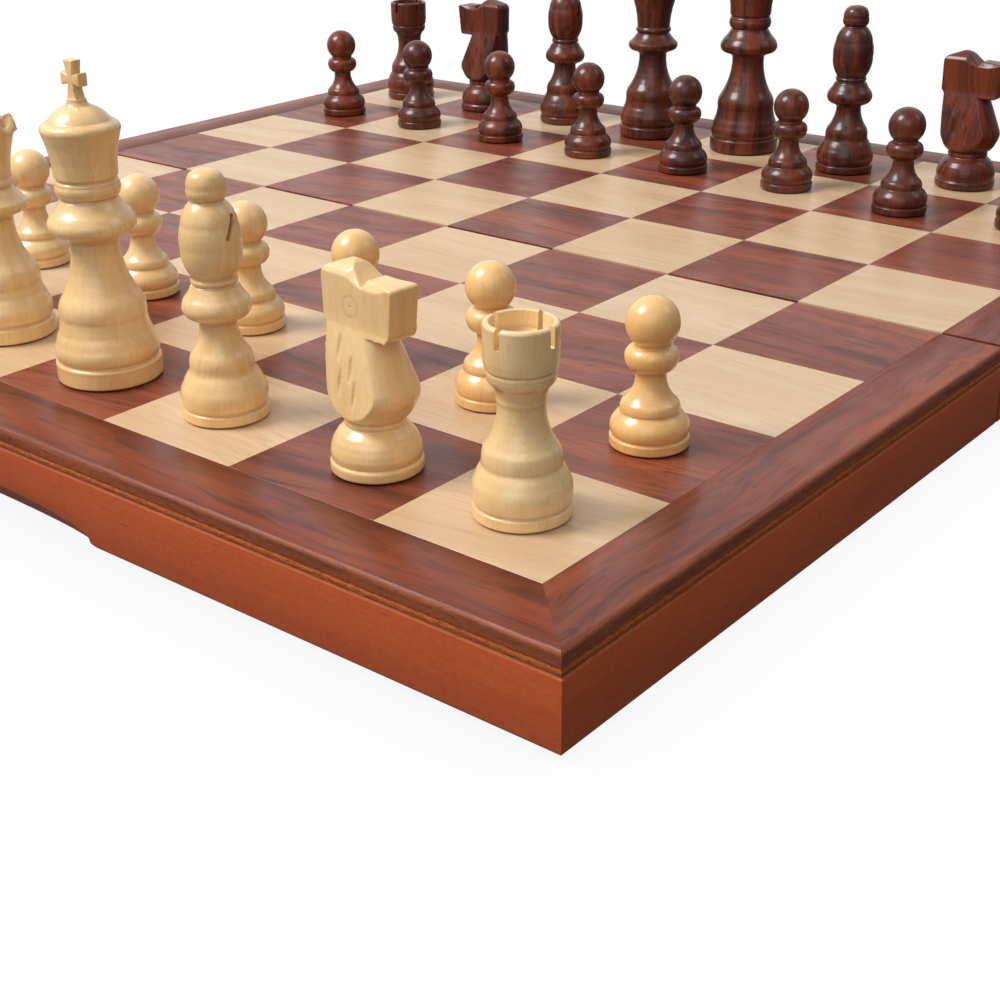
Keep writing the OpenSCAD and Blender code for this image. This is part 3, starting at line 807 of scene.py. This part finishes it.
CREASE_R, OUTLINE_STEP = 0.45, 0.55
VOXEL, QUICK_VOXEL = 0.22, 0.4
SEGMENTS = 120


def foot(node):
    """The middle and the lowest level of a chess piece's pad, in millimetres."""
    co = np.array([v.co for v in NODES[node].data.vertices]) / MM
    low = co[:, 2].min()
    base = co[co[:, 2] < low + 0.1]
    x, y = (base.max(0) + base.min(0))[:2] / 2
    return x, y, low


def lathe_profile(kind, height):
    """The turned outline, scaled to height, with softened creases, and how deep in a crease each point
    lies, which sets the painted shade in the crease."""
    rows = ROWS[kind]
    k = height / max(r[1] for r in rows)
    line = outline([(r, z * k, s) for r, z, s in rows], 7)
    line = spaced(soften(line, CREASE_R), OUTLINE_STEP)
    points = np.array([(0.0, 0.0)] + line)
    ahead = np.diff(points, axis=0)
    heading = np.unwrap(np.arctan2(ahead[:, 1], ahead[:, 0]))
    bend = np.zeros(len(points))
    bend[1:-1] = np.maximum(0, -np.diff(heading))
    run = np.concatenate([[0], np.cumsum(np.linalg.norm(ahead, axis=1))])
    crease = [min(1.0, bend[np.abs(run - r) < CREASE_R].sum() / 0.7) for r in run]
    return points, np.array(crease)


def lathe(points):
    """Turns the outline, which starts and ends on the axis."""
    turn = np.linspace(0, 2 * np.pi, SEGMENTS, endpoint=False)
    inner = points[1:-1]
    verts = [(0.0, 0.0, points[0][1])]
    for r, z in inner:
        verts += [(r * math.cos(a), r * math.sin(a), z) for a in turn]
    verts.append((0.0, 0.0, points[-1][1]))
    last = len(verts) - 1
    faces = [(0, 1 + (i + 1) % SEGMENTS, 1 + i) for i in range(SEGMENTS)]
    for s in range(len(inner) - 1):
        a, b = 1 + s * SEGMENTS, 1 + (s + 1) * SEGMENTS
        faces += [(a + i, a + (i + 1) % SEGMENTS, b + (i + 1) % SEGMENTS, b + i)
                  for i in range(SEGMENTS)]
    top = 1 + (len(inner) - 1) * SEGMENTS
    faces += [(top + i, top + (i + 1) % SEGMENTS, last) for i in range(SEGMENTS)]
    return verts, faces


def ring_values(values):
    return np.concatenate([[values[0]], np.repeat(values[1:-1], SEGMENTS), [values[-1]]])


def piece_grain(verts, node):
    """Grain along the turning axis, from the node's own place in the plank."""
    rng = random.Random(node)
    co = np.array(verts, float)
    turn = rng.uniform(0, math.tau)
    across = co[:, 0] * math.cos(turn) + co[:, 1] * math.sin(turn)
    depth = (co[:, 1] * math.cos(turn) - co[:, 0] * math.sin(turn)) * 0.45
    shift = [rng.uniform(0, 900), rng.uniform(0, 900), rng.uniform(0, 90)]
    return np.stack([co[:, 2], across, depth], 1) + shift


def cut(piece, cutter, operation="DIFFERENCE"):
    """Cuts or joins the cutter, which is then gone."""
    change = piece.modifiers.new("cut", "BOOLEAN")
    change.operation = operation
    change.solver = "EXACT"
    change.object = cutter
    apply_modifiers(piece)
    bpy.data.objects.remove(cutter)


def apply_modifiers(piece):
    graph = bpy.context.evaluated_depsgraph_get()
    mesh = bpy.data.meshes.new_from_object(piece.evaluated_get(graph), depsgraph=graph)
    piece.modifiers.clear()
    piece.data = mesh


def block(size, matrix, round_mm):
    """A scratch block in millimetres, with round edges, for a cut."""
    bm = bmesh.new()
    bmesh.ops.create_cube(bm, size=1.0, matrix=Matrix.Diagonal((*size, 1)))
    bmesh.ops.bevel(bm, geom=bm.edges[:], offset=round_mm, segments=3, profile=0.5,
                    affect="EDGES")
    bmesh.ops.transform(bm, matrix=Matrix.Scale(MM, 4) @ matrix, verts=bm.verts)
    mesh = bpy.data.meshes.new("cutter")
    bm.to_mesh(mesh)
    bm.free()
    return linked("cutter", mesh)


def crown(verts, height):
    """Presses the scallops into the queen's rim."""
    k = height / ROWS["queen"][-1][1]
    made = []
    for x, y, z in verts:
        r = math.hypot(x, y)
        if r > 6.4 and z > 50 * k:
            near = min(1.0, max(0.0, (z - 52.5 * k) / (3.6 * k)))
            near = near * near * (3 - 2 * near)
            phase = (math.atan2(y, x) * SCALLOPS / math.tau) % 1.0
            off = abs(phase - 0.5)
            dip = math.sqrt(max(0.0, 1 - (2 * off / SCALLOP_SHARE) ** 2))
            z -= SCALLOP_DEPTH * k * near * dip
        made.append((x, y, z))
    return made


def turned_piece(node, kind, tint):
    x, y, low = foot(node)
    wood_z = low + PAD_T + GLUE
    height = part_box(node)[1].z / MM - wood_z
    if kind == "king":
        height -= max(z for _, z in CROSS)
    points, crease = lathe_profile(kind, height)
    verts, faces = lathe(points)
    if kind == "queen":
        verts = crown(verts, height)
    piece = make(node + "_turned", verts, faces, piece_grain(verts, node), tint,
                 ring_values(crease), (x, y, wood_z))
    piece.data.materials.append(LIGHT_PIECE if node.startswith("white") else DARK_PIECE)
    bpy.context.view_layer.update()
    place_mm = Matrix.Translation(Vector((x, y, wood_z)))
    if kind == "rook":
        for quarter in range(4):
            turn = Matrix.Rotation(math.radians(90 * quarter), 4, "Z")
            shape = Matrix.Translation((7.6, 0, height - ROOK_SLOT_H + 5))
            cut(piece, block((5.2, ROOK_SLOT_W, 10), place_mm @ turn @ shape, 0.25))
        # Painted shade on the walls of the slots, as in a full crease.
        redress(piece.data, points, crease, node, tint, 1.0)
    if kind == "bishop":
        turn = Matrix.Rotation(math.radians(KERF_TURN), 4, "Z")
        lean = Matrix.Rotation(math.radians(-KERF_TILT), 4, "X")
        level = KERF_SHARE * (height + PAD_T + GLUE) - PAD_T - GLUE
        shape = Matrix.Translation((KERF_IN + 5, 0, level))
        cut(piece, block((10, KERF, KERF_LEN), place_mm @ turn @ shape @ lean, 0.3))
        # Painted shade on the walls of the kerf, stronger than in a full crease.
        redress(piece.data, points, crease, node, tint, 2.6)
    if kind == "king":
        add_cross(piece, place_mm @ Matrix.Translation((0, 0, height)), node)
    finish_shade(piece.data, 32)
    return piece


def redress(mesh, points, crease, node, tint, cut_wall_shade):
    """Dresses a piece again after a cut; the walls of the cut get the given value in place of a crease
    depth, so they get the painted crease shade.
    """
    co = np.array([v.co for v in mesh.vertices]) / MM
    flat = np.stack([np.hypot(co[:, 0], co[:, 1]), co[:, 2]], 1)
    groove = np.empty(len(co))
    for start in range(0, len(co), 4000):
        part = flat[start:start + 4000]
        away = np.linalg.norm(part[:, None] - points[None], axis=2)
        groove[start:start + 4000] = np.where(away.min(1) > 0.34, cut_wall_shade, crease[away.argmin(1)])
    dress(mesh, piece_grain(co, node), tint, groove)


def add_cross(piece, matrix, node):
    """The king's cross, with softened edges, joined to its foot."""
    ring = CROSS[:-1] + [(0, CROSS[-1][1])] + [(-u, z) for u, z in reversed(CROSS[1:-1])]
    bm = bmesh.new()
    sides = [[bm.verts.new((u, v, z)) for u, z in ring] for v in (-CROSS_T / 2, CROSS_T / 2)]
    bm.faces.new(sides[0])
    bm.faces.new(list(reversed(sides[1])))
    for i in range(len(ring)):
        j = (i + 1) % len(ring)
        bm.faces.new((sides[0][j], sides[0][i], sides[1][i], sides[1][j]))
    bmesh.ops.recalc_face_normals(bm, faces=bm.faces)
    edges = [e for e in bm.edges if e.calc_face_angle(0) > math.radians(25)
             and min(v.co.z for v in e.verts) > 0]
    bmesh.ops.bevel(bm, geom=edges, offset=0.3, segments=3, profile=0.5, affect="EDGES")
    bmesh.ops.transform(bm, matrix=Matrix.Scale(MM, 4) @ matrix, verts=bm.verts)
    mesh = bpy.data.meshes.new("cross")
    bm.to_mesh(mesh)
    bm.free()
    co = np.array([v.co for v in mesh.vertices]) / MM - np.array(matrix.translation)
    dress(mesh, piece_grain(co + np.array([0, 0, 68]), node), 0.2, np.zeros(len(co)))
    cut(piece, linked("cross", mesh), "UNION")


def knight_piece(node, tint):
    """The sawn knight: its CAD solid resampled finely, with every arris rubbed soft."""
    x, y, low = foot(node)
    wood_z = low + PAD_T + GLUE
    source = NODES[node].data
    bm = bmesh.new()
    bm.from_mesh(source)
    bmesh.ops.remove_doubles(bm, verts=bm.verts, dist=1e-7)
    pad = [v for v in bm.verts if v.co.z < (low + PAD_T + GLUE / 2) * MM]
    bmesh.ops.delete(bm, geom=pad, context="VERTS")
    bmesh.ops.recalc_face_normals(bm, faces=bm.faces)
    bmesh.ops.translate(bm, verts=bm.verts, vec=-Vector((x, y, wood_z)) * MM)
    mesh = bpy.data.meshes.new(node)
    bm.to_mesh(mesh)
    bm.free()
    piece = linked(node + "_carved", mesh)
    piece.location = Vector((x, y, wood_z)) * MM
    fine = piece.modifiers.new("fine", "REMESH")
    fine.mode = "VOXEL"
    fine.voxel_size = VOXEL * MM
    fine.use_smooth_shade = True
    rub = piece.modifiers.new("rub", "SMOOTH")
    rub.factor = 0.5
    rub.iterations = 6
    apply_modifiers(piece)
    mesh = piece.data
    count = len(mesh.vertices)
    co = np.empty(count * 3)
    mesh.vertices.foreach_get("co", co)
    co = co.reshape(-1, 3) / MM
    normal = np.empty(count * 3)
    mesh.vertex_normals.foreach_get("vector", normal)
    normal = normal.reshape(-1, 3)
    edges = np.empty(len(mesh.edges) * 2, int)
    mesh.edges.foreach_get("vertices", edges)
    a, b = edges.reshape(-1, 2).T
    total, near = np.zeros((count, 3)), np.zeros(count)
    for p, q in ((a, b), (b, a)):
        np.add.at(total, p, co[q])
        np.add.at(near, p, 1)
    # Painted shade: how far each point lies in a hollow, which darkens the knight's hollows and gouges
    # through the groove value.
    hollow = ((total / near[:, None] - co) * normal).sum(1)
    for _ in range(3):
        mean = np.zeros(count)
        for p, q in ((a, b), (b, a)):
            np.add.at(mean, p, hollow[q])
        hollow = (hollow + mean / near) / 2
    dress(mesh, piece_grain(co, node), tint,
          np.maximum(np.clip(hollow / 0.03, 0, 0.8), eye_mark(node, co)))
    mesh.shade_smooth()
    mesh.materials.clear()
    mesh.materials.append(LIGHT_PIECE if node.startswith("white") else DARK_PIECE)
    return piece


def eye_mark(node, co):
    """How near each point lies to the scribed ring of the eye or its centre mark."""
    turn = math.radians(HEADING.get(node, 180 if node.endswith("b") else 0))
    along = co[:, 0] * math.cos(turn) + co[:, 1] * math.sin(turn)
    out = np.hypot(along - EYE_AT[0], co[:, 2] - EYE_AT[1])
    ring = np.exp(-((out - EYE_R) / 0.2) ** 2)
    return 1.3 * np.maximum(ring, np.exp(-(out / 0.32) ** 2))


def felt_pad(node, radius):
    """The disc of felt under a piece, a little fluffy round its rim."""
    x, y, low = foot(node)
    n = 72
    rings = [(0.97, 0.0), (1.0, 0.12), (1.0, PAD_T - 0.1), (0.985, PAD_T)]
    verts = [(0, 0, 0.02)]
    for share, z in rings:
        for i in range(n):
            a = math.tau * i / n
            fluff = 1 + 0.008 * noise.noise(Vector((i * 1.7, z * 3, radius)))
            r = radius * share * fluff
            verts.append((r * math.cos(a), r * math.sin(a), z))
    verts.append((0, 0, PAD_T))
    last = len(verts) - 1
    faces = [(0, 1 + (i + 1) % n, 1 + i) for i in range(n)]
    for s in range(len(rings) - 1):
        p, q = 1 + s * n, 1 + (s + 1) * n
        faces += [(p + i, p + (i + 1) % n, q + (i + 1) % n, q + i) for i in range(n)]
    faces += [(last - n + i, last - n + (i + 1) % n, last) for i in range(n)]
    grain = [(vx + x, vy + y, vz) for vx, vy, vz in verts]
    pad = make(node + "_pad", verts, faces, grain, at=(x, y, low))
    pad.data.materials.append(FELT)
    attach(pad, node)


FILES = "abcdefgh"
BACK = ("rook", "knight", "bishop", "queen", "king", "bishop", "knight", "rook")
WARM = {"white_pawn_h": 1.0, "white_pawn_g": 0.9, "white_pawn_f": 0.8, "white_rook_h": -0.15}
for colour in ("white", "black"):
    for index, file in enumerate(FILES):
        kind = BACK[index]
        names = [(f"{colour}_pawn_{file}", "pawn"),
                 (f"{colour}_{kind}" + ("" if kind in ("queen", "king") else f"_{file}"), kind)]
        for node, sort in names:
            tint = WARM.get(node, random.Random(node).uniform(0.1, 0.45))
            if sort == "knight":
                made = knight_piece(node, tint)
                radius = KNIGHT_FOOT_R
            else:
                made = turned_piece(node, sort, tint)
                radius = ROWS[sort][0][0]
            place(made, node, "light_piece_wood" if colour == "white" else "dark_piece_wood", node)
            felt_pad(node, radius - PAD_INSET)


# ---- Camera, light and floor ------------------------------------------------

def camera():
    eye = bpy.data.cameras.new("camera")
    eye.sensor_width = 36
    eye.lens = 55.8
    eye.clip_start, eye.clip_end = 0.01, 100
    made = linked("camera", eye)
    azimuth, elevation, roll = math.radians(39.153), math.radians(25.757), math.radians(-0.681)
    back = Vector((math.sin(azimuth) * math.cos(elevation),
                   -math.cos(azimuth) * math.cos(elevation), math.sin(elevation)))
    made.rotation_mode = "QUATERNION"
    made.rotation_quaternion = (-back).to_track_quat("-Z", "Y") @ Quaternion((0, 0, 1), roll)
    made.location = (0.32557, -0.37366, 0.16046)
    bpy.context.scene.camera = made


def softbox(name, direction, distance, size, power):
    lamp = bpy.data.lights.new(name, "AREA")
    lamp.shape = "RECTANGLE"
    lamp.size, lamp.size_y = size
    lamp.energy = power
    made = linked(name, lamp)
    aim = Vector(direction).normalized()
    made.location = aim * distance
    made.rotation_mode = "QUATERNION"
    made.rotation_quaternion = aim.to_track_quat("Z", "Y")
    made.visible_camera = False


def studio():
    """A pale room, brighter behind on the left and dim low down, and three soft lamps."""
    world = bpy.data.worlds.new("studio")
    world.use_nodes = True
    tree = world.node_tree
    room = tree.nodes["Background"]
    room.inputs["Color"].default_value = (1, 1, 1, 1)
    way = tree.nodes.new("ShaderNodeTexCoord").outputs["Generated"]

    def toward(direction, low, high, out_low, out_high):
        dot = tree.nodes.new("ShaderNodeVectorMath")
        dot.operation = "DOT_PRODUCT"
        tree.links.new(way, dot.inputs[0])
        dot.inputs[1].default_value = Vector(direction).normalized()
        ramp = tree.nodes.new("ShaderNodeMapRange")
        ramp.interpolation_type = "SMOOTHSTEP"
        tree.links.new(dot.outputs["Value"], ramp.inputs["Value"])
        for key, value in zip(("From Min", "From Max", "To Min", "To Max"),
                              (low, high, out_low, out_high)):
            ramp.inputs[key].default_value = value
        return ramp.outputs["Result"]

    def combine(operation, a, b):
        made = tree.nodes.new("ShaderNodeMath")
        made.operation = operation
        tree.links.new(a, made.inputs[0])
        tree.links.new(b, made.inputs[1])
        return made.outputs[0]

    backdrop = toward((-0.6, 0.7, 0.35), 0.35, 1.0, 0.0, 0.45)
    side = toward((-0.7, -0.5, 0.5), -1.0, 1.0, 0.2, 0.5)
    upper = toward((0, 0, 1), -0.15, 0.15, 0.45, 1.0)
    tree.links.new(combine("MULTIPLY", combine("ADD", backdrop, side), upper),
                   room.inputs["Strength"])
    seen = tree.nodes.new("ShaderNodeBackground")
    seen.inputs["Color"].default_value = (1, 1, 1, 1)
    seen.inputs["Strength"].default_value = 1.0
    path = tree.nodes.new("ShaderNodeLightPath")
    mix = tree.nodes.new("ShaderNodeMixShader")
    tree.links.new(path.outputs["Is Camera Ray"], mix.inputs[0])
    tree.links.new(room.outputs[0], mix.inputs[1])
    tree.links.new(seen.outputs[0], mix.inputs[2])
    tree.links.new(mix.outputs[0], tree.nodes["World Output"].inputs[0])
    bpy.context.scene.world = world
    softbox("key", (-0.42, -0.46, 0.78), 1.5, (0.6, 0.6), 19.5)
    softbox("fill", (0.35, -0.75, 0.55), 1.6, (1.2, 1.2), 4)
    softbox("rim", (0.613, 0.419, 0.667), 1.6, (0.6, 0.6), 1.5)
    bpy.context.scene.view_settings.view_transform = "Standard"


def floor():
    """A plain white floor that shows only a faint contact shadow. Parts that fold away
    below its level are seen through it."""
    s = 30.0
    mesh = bpy.data.meshes.new("floor")
    mesh.from_pydata([(-s, -s, 0), (s, -s, 0), (s, s, 0), (-s, s, 0)], [], [(0, 1, 2, 3)])
    made = bpy.data.objects.new("floor", mesh)
    made.location.z = CAD_BOX[0].z - 0.0002
    g = Graph("floor")
    near = g.node("AmbientOcclusion", {"samples": 8}, Distance=0.05).outputs["AO"]
    shade = g.band(near, 0.3, 1.0, 0.92, 1.0)
    clear = g.node("BsdfTransparent", Color=g.node(
        "CombineColor", Red=shade, Green=shade, Blue=shade).outputs[0])
    g.put(g.tree.nodes["Material Output"].inputs["Surface"], clear.outputs[0])
    mesh.materials.append(g.material)
    bpy.context.scene.collection.objects.link(made)


camera()
studio()
floor()
